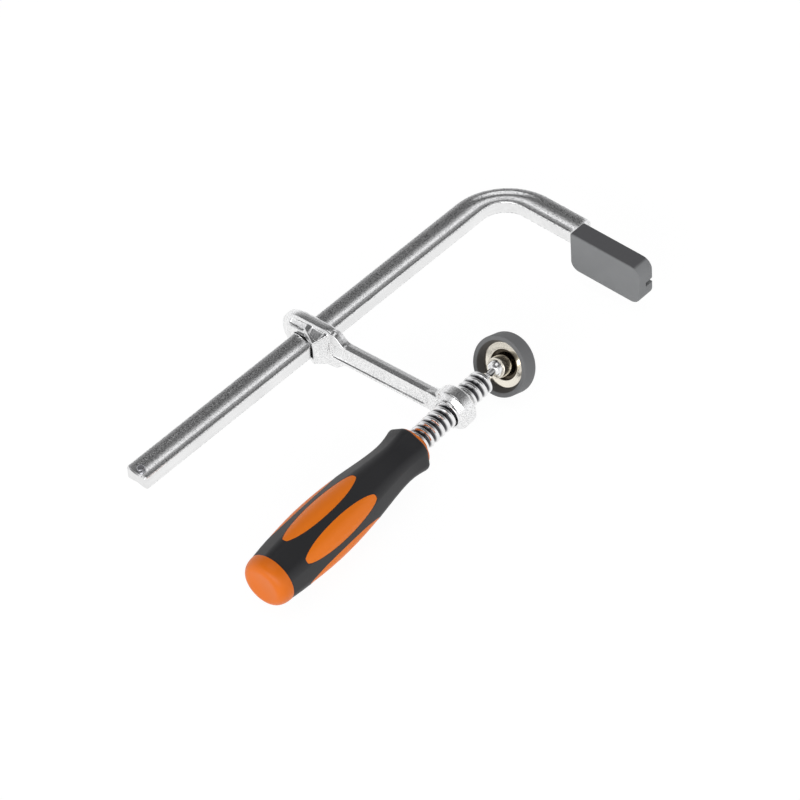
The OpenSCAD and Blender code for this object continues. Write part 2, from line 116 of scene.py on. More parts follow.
def outline(name, points):
    # a chain of edges, drawn by extruding one vertex from point to point
    objectMode()
    bpy.ops.mesh.primitive_plane_add(size=mm, location=(0, 0, 0))
    piece = named(name)
    edit(piece)
    bpy.ops.mesh.select_all(action="SELECT")
    bpy.ops.mesh.merge(type="CENTER")
    bpy.ops.transform.translate(value=points[0])
    for here, there in zip(points, points[1:]):
        step = Vector(there) - Vector(here)
        bpy.ops.mesh.extrude_region_move(TRANSFORM_OT_translate={"value": step})
    return piece


def block(name, middle, size):
    # a box by its middle and size in mm, left open for editing
    objectMode()
    centre = tuple(c * mm for c in middle)
    bpy.ops.mesh.primitive_cube_add(size=1, location=centre)
    piece = named(name)
    edit(piece)
    bpy.ops.mesh.select_all(action="SELECT")
    bpy.ops.transform.resize(value=tuple(c * mm for c in size), center_override=centre)
    return piece


def clean(piece, limit=0.002 * mm):
    edit(piece)
    bpy.ops.mesh.select_all(action="SELECT")
    bpy.ops.mesh.remove_doubles(threshold=limit)
    bpy.ops.mesh.normals_make_consistent(inside=False)
    objectMode()


def turned(name, profile, steps=96):
    # profile is [x, radius] in mm, spun about the X axis
    piece = outline(name, [(x * mm, 0, r * mm) for x, r in profile])
    bpy.ops.mesh.select_all(action="SELECT")
    bpy.ops.mesh.spin(steps=steps, angle=2 * math.pi, center=(0, 0, 0), axis=(1, 0, 0))
    clean(piece)
    return piece


def hullOf(name, points):
    # the tightest solid round points given in mm
    piece = outline(name, [(x * mm, y * mm, z * mm) for x, y, z in points])
    bpy.ops.mesh.select_all(action="SELECT")
    bpy.ops.mesh.convex_hull()
    bpy.ops.mesh.select_all(action="SELECT")
    bpy.ops.mesh.normals_make_consistent(inside=False)
    objectMode()
    return piece


def rounded(points, radii, steps=6):
    # rounds the corners of a profile by the radii given, in order
    path = []
    for k, (x, y) in enumerate(points):
        r = radii[k] if k < len(radii) else 0
        if r == 0 or k in (0, len(points) - 1):
            path.append((x, y))
            continue
        here = Vector((x, y))
        a = (Vector(points[k - 1]) - here).normalized()
        b = (Vector(points[k + 1]) - here).normalized()
        half = a.angle(b) / 2
        reach = r / math.tan(half)
        centre = here + (a + b).normalized() * (r / math.sin(half))
        start = here + a * reach - centre
        end = here + b * reach - centre
        turn = start.angle(end)
        for j in range(steps + 1):
            f = j / steps
            p = (start * math.sin((1 - f) * turn) + end * math.sin(f * turn)) / math.sin(turn)
            path.append(tuple(centre + p))
    return path


def softened(points, rounds=2):
    # cuts the corners off a closed outline, finer each round
    for _ in range(rounds):
        cut = []
        for (y0, z0), (y1, z1) in zip(points, points[1:] + points[:1]):
            for share in (0.75, 0.25):
                cut.append((share * y0 + (1 - share) * y1, share * z0 + (1 - share) * z1))
        points = cut
    return points


def apply(piece, modifier):
    activate(piece)
    bpy.ops.object.modifier_apply(modifier=modifier.name)


def combine(piece, tool, how):
    modifier = piece.modifiers.new("combine", "BOOLEAN")
    modifier.operation = how
    modifier.solver = "EXACT"
    modifier.object = tool
    apply(piece, modifier)
    bpy.data.objects.remove(tool)
    return piece


def settle(piece, place=None, smooth=30):
    # puts a piece modelled at the origin where it belongs, and leaves its object there unturned
    activate(piece)
    if place is not None:
        piece.matrix_world = place
    bpy.ops.object.transform_apply(location=True, rotation=True, scale=True)
    bpy.ops.object.shade_smooth_by_angle(angle=math.radians(smooth))
    objectMode()


def dress(piece, body, node, material):
    piece.data.materials.clear()
    piece.data.materials.append(material)
    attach(piece, body)
    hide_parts(node)


# Helpers that write shader nodes

class Value:
    # one socket, with Python's operators as Math nodes
    def __init__(self, shader, out):
        self.shader = shader
        self.out = out

    def math(self, operation, *others, swap=False):
        terms = [self, *others]
        if swap:
            terms.reverse()
        return self.shader.add("ShaderNodeMath", {"operation": operation}, dict(enumerate(terms)))

    def __add__(self, other):
        return self.math("ADD", other)

    def __sub__(self, other):
        return self.math("SUBTRACT", other)

    def __rsub__(self, other):
        return self.math("SUBTRACT", other, swap=True)

    def __mul__(self, other):
        return self.math("MULTIPLY", other)

    def __pow__(self, other):
        return self.math("POWER", other)

    __radd__ = __add__
    __rmul__ = __mul__


class Shader:
    # the nodes of a material or of the world
    def __init__(self, owner):
        self.owner = owner
        owner.use_nodes = True
        self.tree = owner.node_tree
        self.tree.nodes.clear()

    def add(self, kind, settings=None, inputs=None, output=0):
        node = self.tree.nodes.new(kind)
        for key, value in (settings or {}).items():
            if key == "stops":
                ramp = node.color_ramp
                while len(ramp.elements) < len(value):
                    ramp.elements.new(0.5)
                for element, (place, shade) in zip(ramp.elements, value):
                    element.position = place
                    element.color = shade
            else:
                setattr(node, key, value)
        for key, value in (inputs or {}).items():
            if isinstance(value, Value):
                self.tree.links.new(value.out, node.inputs[key])
            else:
                node.inputs[key].default_value = value
        return Value(self, node.outputs[output] if len(node.outputs) else None)

    def place(self, scale=(1, 1, 1)):
        spot = self.add("ShaderNodeTexCoord", output="Object")
        return self.add("ShaderNodeMapping", {}, {"Vector": spot, "Scale": scale})

    def noise(self, scale, detail=4, stretch=(1, 1, 1), roughness=0.5):
        return self.add("ShaderNodeTexNoise", {}, {
            "Vector": self.place(stretch), "Scale": scale, "Detail": detail, "Roughness": roughness})

    def axial(self, place):
        # distance along the X axis of the frame that place gives, and radius about it
        spot = self.add("ShaderNodeTexCoord", output="Object")
        local = self.add("ShaderNodeMapping", {"vector_type": "TEXTURE"}, {
            "Vector": spot, "Location": place.translation, "Rotation": place.to_euler()})
        x, y, z = self.split(local)
        return x, (y * y + z * z) ** 0.5

    def split(self, vector):
        parts = self.add("ShaderNodeSeparateXYZ", {}, {0: vector})
        return [Value(self, out) for out in parts.out.node.outputs]

    def rise(self, value, edge):
        # 0 up to the edge's start and 1 from its end on, in mm
        start, end = edge
        return self.add("ShaderNodeMapRange", {}, {"Value": value, 1: start * mm, 2: end * mm})

    def blend(self, factor, low, high):
        # a mix of two colours, each a link or a fixed colour
        return self.add("ShaderNodeMix", {"data_type": "RGBA"}, {0: factor, 6: low, 7: high}, output=2)

    def bump(self, height, strength, distance):
        return self.add("ShaderNodeBump", {}, {"Height": height, "Strength": strength, "Distance": distance})

    def finish(self, **inputs):
        surface = self.add("ShaderNodeBsdfPrincipled", {}, inputs)
        self.add("ShaderNodeOutputMaterial", {}, {"Surface": surface})
        return self.owner


def colour(r, g, b):
    return (r, g, b, 1.0)


# Finishes. Noise scales are per metre, and the noise varies about its middle.
noiseMiddle = 0.5
steelLook = {
    "grainScale": 1250, "grainDetail": 1, "grainMix": 0.6,  # spangle of the plating
    "drawnScale": 300, "cloudScale": 45, "detail": 3,
    "shade": 0.8, "drawnShade": 0.25, "cloudShade": 0.25,
    "lighter": 1.12, "lightest": 0.95,
    "grainRough": 0.16, "drawnRough": 0.06,
    "grainBump": 0.7, "drawnBump": 0.3, "bumpStrength": 1.0,
}
mouldedLook = {
    "grainDetail": 4, "cloudScale": 60, "cloudDetail": 3,
    "lightest": 0.98, "grainRough": 0.12, "bumpStrength": 0.3,
}

# Where the painted shade and light and the speckle begin and end
edges = {
    "railFlat": (3.2, 3.7),  # height from the bar's middle
    "threadRoot": (6.5, 7.6), "threadFront": (28.6, 29.6),
    "hubSide": (6.1, 6.5), "recessSide": (9.2, 9.5), "recessFloor": (1.5, 7.5),
    "padWall": (16.1, 16.5), "padMouth": (2.3, 2.9), "padFloor": (7.4, 8.0),
    "jawFace": (0.0, 0.9), "jawTop": (13.2, 13.9),
    "buttFront": (-161.0, -158.0),
}


def steelFinish(name, tint, roughness, speckle, bumpDepth, streak=(1, 1, 1), dark=0.62,
                paintedLight=None, paintedLightMask=None, speckled=None):
    # dark is the darkest shade over the tint; the painted shade or light colour shows where its mask
    # is 0, and speckled is 1 where the grain is dark
    look = steelLook
    shader = Shader(bpy.data.materials.new(name))
    grain = shader.noise(look["grainScale"], look["grainDetail"], roughness=look["grainMix"])
    drawn = shader.noise(look["drawnScale"], look["detail"], streak)
    cloudy = shader.noise(look["cloudScale"], look["detail"])
    flecks = (grain - noiseMiddle) * speckle
    if speckled:
        flecks = flecks * speckled(shader)
    streaks = (drawn - noiseMiddle) * look["drawnShade"]
    clouds = (cloudy - noiseMiddle) * look["cloudShade"]
    low = colour(*[c * dark for c in tint])
    high = colour(*[min(c * look["lighter"], look["lightest"]) for c in tint])
    plating = shader.blend(look["shade"] + flecks + streaks + clouds, low, high)
    # painted shade or light over the plating, where its mask is 0
    if paintedLightMask:
        plating = shader.blend(paintedLightMask(shader), colour(*paintedLight), plating)
    grainRough = (grain - noiseMiddle) * look["grainRough"]
    drawnRough = (drawn - noiseMiddle) * look["drawnRough"]
    height = grain * look["grainBump"] + drawn * look["drawnBump"]
    return shader.finish(**{
        "Base Color": plating,
        "Metallic": 1.0,
        "Roughness": roughness + grainRough + drawnRough,
        "Normal": shader.bump(height, look["bumpStrength"], bumpDepth),
    })


def mouldedFinish(name, tint, roughness, grainScale, bumpDepth, vary, specular, paintedLight=None, paintedLightMask=None):
    look = mouldedLook
    shader = Shader(bpy.data.materials.new(name))
    grain = shader.noise(grainScale, look["grainDetail"])
    cloudy = shader.noise(look["cloudScale"], look["cloudDetail"])
    low = colour(*[c * (1 - vary) for c in tint])
    high = colour(*[min(c * (1 + vary), look["lightest"]) for c in tint])
    body = shader.blend(cloudy, low, high)
    # painted shade or light over the body, where its mask is 0
    if paintedLightMask:
        body = shader.blend(paintedLightMask(shader), colour(*paintedLight), body)
    return shader.finish(**{
        "Base Color": body,
        "Roughness": roughness + (grain - noiseMiddle) * look["grainRough"],
        "Specular IOR Level": specular,
        "Normal": shader.bump(grain, look["bumpStrength"], bumpDepth),
    })


def railTop(shader):
    x, y, z = shader.split(shader.place())
    return shader.rise(z.math("ABSOLUTE"), edges["railFlat"])


def threadRootShade(shader):
    # painted shade between the crests, short of the ball
    x, radius = shader.axial(screwFrame)
    return shader.rise(radius, edges["threadRoot"]).math("MAXIMUM", shader.rise(x, edges["threadFront"]))


def plateRecessShade(shader):
    # painted shade and dark reflection in the ring round the hub, darker towards its floor
    x, radius = shader.axial(padFrame)
    ring = shader.rise(radius, edges["hubSide"]) * (1 - shader.rise(radius, edges["recessSide"]))
    return 1 - ring * shader.rise(x, edges["recessFloor"])


def padInsideShade(shader):
    # painted shade on the cap's inner wall, between its rim and the plate
    x, radius = shader.axial(padFrame)
    within = 1 - shader.rise(radius, edges["padWall"])
    return 1 - within * shader.rise(x, edges["padMouth"]) * (1 - shader.rise(x, edges["padFloor"]))


def jawTopShade(shader):
    # painted shade on the top of the cap, away from its front edge
    x, y, z = shader.split(shader.place())
    return 1 - shader.rise(x, edges["jawFace"]) * shader.rise(z, edges["jawTop"])


def inlaysPaintedLighter(shader):
    # painted light: the inlays and the front collar are a shade brighter than the butt
    x = shader.axial(screwFrame)[0]
    return 1 - shader.rise(x, edges["buttFront"])


finishes = {
    "rail": steelFinish("rolledZinc", (0.92, 0.93, 0.95), roughness=0.17, speckle=3.4,
                        bumpDepth=0.09 * mm, streak=(0.02, 1, 1), dark=0.3, speckled=railTop),
    "arm": steelFinish("forgedZinc", (0.92, 0.93, 0.95), roughness=0.15, speckle=1.4,
                       bumpDepth=0.13 * mm, dark=0.35),
    "stud": steelFinish("darkStud", (0.40, 0.40, 0.42), roughness=0.22, speckle=1.0,
                        bumpDepth=0.02 * mm),
    # painted shade between the thread's crests
    "screw": steelFinish("brightThread", (0.90, 0.90, 0.92), roughness=0.14, speckle=0.4,
                         bumpDepth=0.01 * mm, paintedLight=(0.055, 0.055, 0.06), paintedLightMask=threadRootShade),
    # painted shade in the recess round the hub
    "nickel": steelFinish("warmNickel", (0.86, 0.80, 0.70), roughness=0.13, speckle=0.3,
                          bumpDepth=0.01 * mm, paintedLight=(0.075, 0.062, 0.045), paintedLightMask=plateRecessShade),
    # one rubber for both caps, tinted lighter on the jaw and darker on the pad as painted light and shade
    "jawCap": mouldedFinish("jawRubber", (0.265, 0.27, 0.275), roughness=0.62, grainScale=1400,
                            bumpDepth=0.03 * mm, vary=0.08, specular=0.3,
                            paintedLight=(0.11, 0.11, 0.115), paintedLightMask=jawTopShade),
    "padCap": mouldedFinish("padRubber", (0.195, 0.197, 0.20), roughness=0.62, grainScale=1400,
                            bumpDepth=0.03 * mm, vary=0.08, specular=0.3,
                            paintedLight=(0.10, 0.095, 0.09), paintedLightMask=padInsideShade),
    "orange": mouldedFinish("orangeShell", (0.84, 0.175, 0.0), roughness=0.42, grainScale=1800,
                            bumpDepth=0.01 * mm, vary=0.06, specular=0.4,
                            paintedLight=(0.98, 0.215, 0.0), paintedLightMask=inlaysPaintedLighter),
    "grip": mouldedFinish("blackSoftGrip", (0.016, 0.016, 0.018), roughness=0.48, grainScale=1500,
                          bumpDepth=0.03 * mm, vary=0.1, specular=0.42),
}
print("finishes made")


# The rail is a rolled bar, bent round and forged out into the fixed jaw's palm
railSizes = {
    "length": 301.0, "width": 16.0, "thick": 9.5, "reach": 96.75, "endChamfer": 0.9,
    "bevel": 1.0, "bevelAngles": (0, 22.5, 45, 67.5, 90),
    "grooveWidth": 9.4, "grooveDepth": 1.0, "grooveLip": 0.25, "grooveCurve": 1.25, "grooveSteps": 10,
    "legIn": 8.5, "legOut": 24.5, "bendIn": 17.0, "bendOut": 40.0, "bendSteps": 30,
    # sections down the leg and palm: inner x, outer x, y and the height over the bar's
    "palm": [(8.5, 24.5, 36.5, 1.0), (8.5, 24.5, 34.8, 1.0), (8.0, 24.3, 33.0, 1.05), (6.9, 23.6, 31.2, 1.18),
             (5.6, 22.4, 29.8, 1.38), (4.3, 20.2, 28.7, 1.7), (3.0, 16.6, 27.9, 2.15), (2.1, 13.9, 27.5, 2.5),
             (2.1, 10.6, 27.0, 2.54), (2.1, 10.6, 0.0, 2.54)],
    "smooth": 28,
}


def barSection(s):
    # the bar's outline as [across, up], with a rolled groove in each wide face
    half = s["width"] / 2
    top = s["thick"] / 2
    bevel = s["bevel"]
    quarter = []
    for degrees in s["bevelAngles"]:
        a = math.radians(degrees)
        quarter.append((half - bevel + bevel * math.cos(a), top - bevel + bevel * math.sin(a)))
    groove = []
    for k in range(1, 2 * s["grooveSteps"]):
        f = 1 - k / s["grooveSteps"]
        depth = s["grooveDepth"] * (1 - f * f) ** s["grooveCurve"]
        groove.append((f * s["grooveWidth"] / 2, top - depth))
    lip = s["grooveWidth"] / 2 + s["grooveLip"]
    upper = quarter + [(lip, top)] + groove + [(-lip, top)] + [(-u, z) for u, z in reversed(quarter)]
    return upper + [(-u, -z) for u, z in upper]


def railRings(s):
    # each section of the bar: its inner and outer point, and its height over the bar's
    inner = s["reach"] - s["width"] / 2
    outer = s["reach"] + s["width"] / 2
    c = s["endChamfer"]
    rings = [((-s["length"], inner + c), (-s["length"], outer - c), 1 - 2 * c / s["thick"]),
             ((-s["length"] + c, inner), (-s["length"] + c, outer), 1.0)]
    for k in range(s["bendSteps"] + 1):
        a = math.pi / 2 * k / s["bendSteps"]
        ends = []
        for leg, side, radius in ((s["legIn"], inner, s["bendIn"]), (s["legOut"], outer, s["bendOut"])):
            ends.append((leg - radius + radius * math.sin(a), side - radius + radius * math.cos(a)))
        rings.append((ends[0], ends[1], 1.0))
    for x0, x1, y, height in s["palm"]:
        rings.append(((x0, y), (x1, y), height))
    return [(Vector((*a, 0)), Vector((*b, 0)), height) for a, b, height in rings]


def makeRail(s):
    rings = railRings(s)
    a, b, height = rings[0]
    start = (a + b) / 2
    width = (b - a).length / s["width"]
    piece = outline("railBar", [(start.x * mm, (start.y + u * width) * mm, z * height * mm)
                                for u, z in barSection(s)])
    bpy.ops.mesh.select_all(action="SELECT")
    bpy.ops.mesh.edge_face_add()
    for (a0, b0, h0), (a1, b1, h1) in zip(rings, rings[1:]):
        c0 = (a0 + b0) / 2
        c1 = (a1 + b1) / 2
        v0 = b0 - a0
        v1 = b1 - a1
        swing = math.atan2(v1.y, v1.x) - math.atan2(v0.y, v0.x)
        bpy.ops.mesh.extrude_region_move(TRANSFORM_OT_translate={"value": (c1 - c0) * mm})
        if abs(swing) > 1e-9:
            bpy.ops.transform.rotate(value=-swing, orient_axis="Z", center_override=c1 * mm)
        across = v1.normalized()
        axes = Matrix(((across.x, -across.y, 0), (across.y, across.x, 0), (0, 0, 1)))
        bpy.ops.transform.resize(value=(v1.length / v0.length, 1, h1 / h0), orient_type="GLOBAL",
                                 orient_matrix=axes, orient_matrix_type="GLOBAL", center_override=c1 * mm)
    clean(piece)
    settle(piece, smooth=s["smooth"])
    return piece


rail = makeRail(railSizes)
dress(rail, "rail", "rail", finishes["rail"])
print("rail made")


# The rubber cap that is pulled over the fixed jaw's palm
jawCapSizes = {
    "length": 53.6, "height": 28.4, "thick": 12.7, "wall": 2.0, "pocketDepth": 6.0,
    "corner": 7.0, "lowCorner": 6.0, "openCorner": 1.4, "cornerSteps": 10, "edge": 0.9, "edgeSteps": 4,
    "slotHeight": 3.4, "slotDepth": 6.5, "slotDrop": 1.2, "slotIn": 2.0, "slotPast": 2.0,
    "smooth": 28,
}


def makeJawCap(s):
    half = s["length"] / 2
    piece = block("jawCap", (s["thick"] / 2, 0, 0), (s["thick"], s["length"], s["height"]))
    corners = [(lambda p: p.y < 0, s["corner"]),
               (lambda p: p.y > 0 > p.z, s["lowCorner"]),
               (lambda p: p.y > 0 and p.z > 0, s["openCorner"])]
    for test, radius in corners:
        pick(lambda a, b: abs(a.x - b.x) > s["thick"] / 2 * mm and test(a), "EDGE")
        bpy.ops.mesh.bevel(offset=radius * mm, segments=s["cornerSteps"], profile=0.5)
    pick(lambda a, b: abs(a.x - b.x) < hair, "EDGE")
    bpy.ops.mesh.bevel(offset=s["edge"] * mm, segments=s["edgeSteps"], profile=0.5)
    # the pocket that the palm fills, open towards the rail
    pocket = block("capPocket", (s["thick"] / 2, half, 0),
                   (s["thick"] - 2 * s["wall"], 2 * s["pocketDepth"], s["height"] - 2 * s["wall"]))
    combine(piece, pocket, "DIFFERENCE")
    # relief slot in the closed end, open at the back
    slot = block("capSlot", (s["thick"] - s["slotDepth"] / 2 + s["slotPast"] / 2, -half, -s["slotDrop"]),
                 (s["slotDepth"] + s["slotPast"], 2 * s["slotIn"], s["slotHeight"]))
    combine(piece, slot, "DIFFERENCE")
    clean(piece)
    settle(piece, smooth=s["smooth"])
    return piece


jawCap = makeJawCap(jawCapSizes)
dress(jawCap, "rail", "jaw_cap", finishes["jawCap"])
print("jaw cap made")


# The stud that keeps the arm on the rail, domed at both ends
stopSizes = {
    "x": -296.8, "y": 96.75, "radius": 2.5, "half": 4.75, "proud": 1.2,
    "sides": 48, "domeShare": 0.85, "domeSteps": 6, "domeCurve": 0.6, "smooth": 35,
}


def makeStop(s):
    objectMode()
    bpy.ops.mesh.primitive_cylinder_add(vertices=s["sides"], radius=s["radius"] * mm,
                                        depth=2 * (s["half"] + s["proud"]) * mm,
                                        location=(s["x"] * mm, s["y"] * mm, 0))
    piece = named("stopStud")
    edit(piece)
    pick(lambda a, b: abs(a.z - b.z) < hair, "EDGE")
    bpy.ops.mesh.bevel(offset=s["proud"] * s["domeShare"] * mm, segments=s["domeSteps"],
                       profile=s["domeCurve"])
    settle(piece, smooth=s["smooth"])
    return piece


stopStud = makeStop(stopSizes)
dress(stopStud, "rail", "stop_stud", finishes["stud"])
print("stop stud made")


# The sliding arm is a forging: drafted blocks are joined, hollowed and then softened all over.
# Here x runs along the rail, y from the screw to the rail and z up, from the eye's middle.
armSizes = {
    "halfThick": 3.1,
    # eye: its ends and top, its corners as [distance in from the end, share of the top], and how far
    # the outline draws in at each x
    "rimFar": 22.0, "rimNear": 20.8, "rimTop": 14.4, "rimFlat": (2, -6),
    "farCorner": [(0, 0), (0.1, 0.25), (1.5, 0.54), (4.3, 0.78), (8.3, 0.93), (13, 1)],
    "nearCorner": [(8, 1), (4.2, 0.93), (1.3, 0.77), (0, 0.5)],
    "rimDraft": [(-3.1, 0.95), (-2.4, 0.14), (-0.3, 0), (0.3, 0), (2.4, 0.14), (3.1, 0.95)],
    # collar round the mouth: how far its root lies inside the rim, the y that bound its far and
    # near half there, and the corners of each half's mouth
    "collarDrop": 1.6, "farFrom": -7, "nearFrom": -14.5, "nearTo": 7,
    "farMouth": [(-7.5, -0.6, 8.25), (-7.5, 11.8, 8.25), (-6.6, 14.6, 7.05),
                 (7.5, -0.6, 8.25), (7.5, 11.8, 8.25), (6.6, 14.6, 7.05)],
    "nearMouth": [(-7.6, 0.2, 8.25), (-11.8, -8.9, 8.25), (-3.1, -14.5, 11.9), (-5.6, -15.5, 0),
                  (4.6, -15.5, 0), (3.1, -14.5, 11.9), (7.5, -9.5, 8.25), (7.5, 0.2, 8.25)],
    "windowWidth": 17.3, "windowHeight": 10.5, "windowRound": 1.2, "windowSteps": 5, "windowLong": 40,
    # what the dies leave hollow in the eye: the corners of each pocket's floor, then of its mouth
    "farPocket": ([(3.35, 1.6, 11.5), (6.2, 1.6, 8.2), (3.35, 13.0, 10.9), (5.7, 13.0, 7.9)],
                  [(3.35, 1.2, 14.0), (6.5, 1.2, 12.0), (3.35, 13.5, 14.0), (6.0, 13.5, 12.0)]),
    "nearPocket": ([(-3.45, -2.8, 11.8), (-7.4, -3.1, 8.7), (-8.9, -10.4, 8.5), (-3.45, -11.8, 11.6)],
                   [(-3.45, -2.4, 14.0), (-8.0, -2.7, 12.0), (-9.6, -10.8, 11.5), (-3.45, -12.2, 14.0)]),
    "seam": [(-2.2, -15.2, 12.4), (-3.8, -14.2, 12.4), (-3.8, -15.9, 12.4),
             (-3.4, -16.0, -0.5), (-6.0, -14.8, -0.5), (-6.0, -16.8, -0.5)],
    # beam, flared into the eye and tapered towards the boss as [y, how much lower]
    "beamHalf": 7.5, "beamDraft": 0.38, "beamRoot": -12.0,
    "beamFlare": 6.0, "flareStart": 17.5, "flareLength": 9.5, "flareLoss": 0.1, "flareSteps": 12,
    "beamTaper": [(-60, 0.1), (-95, 0.3), (-104, 0.3)],
    "pocketStart": 16.3, "pocketEnd": 87.5, "pocketDepth": 1.3, "pocketPast": 1.5, "pocketLip": 2.5,
    "pocketNarrow": 0.5, "pocketRound": 4.2, "pocketRun": 20, "mouthNarrow": 0.1,
    "pocketLonger": 0.9, "pocketWider": 1.16,
    # web and boss
    "webStart": -86.5, "webInset": 0.3, "webHalf": 7, "webRings": ((-4.6, 7.6), (0, 9.4), (5.4, 7.6)),
    "webSteps": 24,
    "bossProfile": [(-6.0, 0), (-6.0, 9.8), (-4.6, 9.8), (-1.6, 13.3), (5.8, 13.3), (8.0, 10.9), (8.0, 0)],
    "bossRounds": [0, 0.7, 0.3, 1.1, 0.8, 0.6], "bossSteps": 5,
    "boreProfile": [(-20, 0), (-20, 8.05), (-6.3, 8.95), (-5.3, 8.05),
                    (7.3, 8.05), (8.3, 8.95), (20, 8.05), (20, 0)],
    "voxel": 0.36, "softness": 0.5, "soften": 3, "smooth": 60,
}


def rimOutline(s, inset):
    far = s["rimFar"] - inset
    near = s["rimNear"] - inset
    top = s["rimTop"] - inset
    half = [(far - into, share * top) for into, share in s["farCorner"]]
    half += [(y, top) for y in s["rimFlat"]]
    half += [(into - near, share * top) for into, share in s["nearCorner"]]
    return softened(half + [(y, -z) for y, z in reversed(half[1:])])


def topAndBottom(points):
    return [(x, y, up * z) for up in (1, -1) for x, y, z in points]


def makeEye(s):
    # the rim, and the collar that stands out of it round the rail
    rim = [(x, y, z) for x, inset in s["rimDraft"] for y, z in rimOutline(s, inset)]
    eye = hullOf("slidingArm", rim)
    inner = [(side * s["halfThick"], y, z) for side in (-1, 1) for y, z in rimOutline(s, s["collarDrop"])]
    far = [p for p in inner if p[1] > s["farFrom"]]
    near = [p for p in inner if s["nearFrom"] < p[1] < s["nearTo"]]
    combine(eye, hullOf("farCollar", far + topAndBottom(s["farMouth"])), "UNION")
    combine(eye, hullOf("nearCollar", near + topAndBottom(s["nearMouth"])), "UNION")
    return eye


def makeBeam(s):
    line = []
    for k in range(s["flareSteps"] + 1):
        f = k / s["flareSteps"]
        flare = s["beamFlare"] * (0.5 + 0.5 * math.cos(math.pi * f)) * (1 - s["flareLoss"] * f)
        line.append((-s["flareStart"] - s["flareLength"] * f, s["beamHalf"] + flare))
    line.insert(0, (s["beamRoot"], line[0][1]))
    line += [(y, s["beamHalf"] - lower) for y, lower in s["beamTaper"]]
    upper = [(y, z - s["beamDraft"]) for y, z in line]
    side = upper + [(y, -z) for y, z in reversed(upper)]
    beam = outline("beam", [(-s["halfThick"] * mm, y * mm, z * mm) for y, z in side])
    bpy.ops.mesh.select_all(action="SELECT")
    bpy.ops.mesh.edge_face_add()
    swell = s["beamHalf"] / (s["beamHalf"] - s["beamDraft"])
    for factor in (swell, 1 / swell):
        # the sides lean out to the parting line and in again behind it
        bpy.ops.mesh.extrude_region_move(TRANSFORM_OT_translate={"value": (s["halfThick"] * mm, 0, 0)})
        bpy.ops.transform.resize(value=(1, 1, factor), center_override=(0, 0, 0))
    clean(beam)
    return beam


def makeWeb(s):
    # where the beam swells into the boss
    x = s["halfThick"] - s["webInset"]
    start = [(side * x, s["webStart"], up * s["webHalf"]) for side in (-1, 1) for up in (-1, 1)]
    rings = []
    for x, radius in s["webRings"]:
        for k in range(s["webSteps"]):
            a = 2 * math.pi / s["webSteps"] * k
            rings.append((x, radius * math.cos(a) - layout["spindleReach"], radius * math.sin(a)))
    return hullOf("bossWeb", start + rings)


def onScrew(piece):
    # moves a piece turned about the arm's X axis to the screw's
    piece.location = (0, -layout["spindleReach"] * mm, 0)
    return piece


def makeWindow(s):
    window = block("window", (0, 0, 0), (s["windowLong"], s["windowWidth"], s["windowHeight"]))
    pick(lambda a, b: abs(a.x - b.x) > s["windowLong"] / 2 * mm, "EDGE")
    bpy.ops.mesh.bevel(offset=s["windowRound"] * mm, segments=s["windowSteps"], profile=0.5)
    return window


def eyePocket(floor, mouth, up, side=1):
    return hullOf("eyePocket", [(side * x, y, up * z) for x, y, z in floor + mouth])


def beamPocket(s, side):
    # long hollow in one side of the beam, round at the boss and drafted all round
    y0 = -s["pocketStart"]
    y1 = -s["pocketEnd"]
    half = s["beamHalf"] - s["pocketLip"]
    narrow = half - s["pocketNarrow"]
    mouth = half - s["mouthNarrow"]
    end = [(y1 + s["pocketRun"], narrow), (y1, narrow), (y1, -narrow), (y1 + s["pocketRun"], -narrow)]
    floor = rounded(end, [0, s["pocketRound"], s["pocketRound"], 0]) + [(y0, -mouth), (y0, mouth)]
    x0 = side * (s["halfThick"] - s["pocketDepth"])
    x1 = side * (s["halfThick"] + s["pocketPast"])
    middle = (y0 + y1) / 2
    rim = []
    for y, z in floor:
        longer = s["pocketLonger"] if y > middle else -s["pocketLonger"]
        rim.append((x1, y + longer, z * s["pocketWider"]))
    return hullOf("beamPocket", [(x0, y, z) for y, z in floor] + rim)


def makeArm(s):
    arm = makeEye(s)
    combine(arm, makeBeam(s), "UNION")
    combine(arm, makeWeb(s), "UNION")
    boss = turned("boss", rounded(s["bossProfile"], s["bossRounds"], s["bossSteps"]))
    combine(arm, onScrew(boss), "UNION")
    # what the dies and the broach took out
    combine(arm, makeWindow(s), "DIFFERENCE")
    for up in (1, -1):
        combine(arm, hullOf("seam", [(x, y, up * z) for x, y, z in s["seam"]]), "DIFFERENCE")
        for side in (1, -1):
            combine(arm, eyePocket(*s["farPocket"], up, side), "DIFFERENCE")
        combine(arm, eyePocket(*s["nearPocket"], up), "DIFFERENCE")
    for side in (1, -1):
        combine(arm, beamPocket(s, side), "DIFFERENCE")
    combine(arm, onScrew(turned("bore", s["boreProfile"])), "DIFFERENCE")
    remesh = arm.modifiers.new("remesh", "REMESH")
    remesh.mode = "VOXEL"
    remesh.voxel_size = s["voxel"] * mm
    apply(arm, remesh)
    soften = arm.modifiers.new("soften", "SMOOTH")
    soften.factor = s["softness"]
    soften.iterations = s["soften"]
    apply(arm, soften)
    settle(arm, armFrame, s["smooth"])
    return arm


slidingArm = makeArm(armSizes)
dress(slidingArm, "sliding_arm", "sliding_arm", finishes["arm"])
print("sliding arm made")


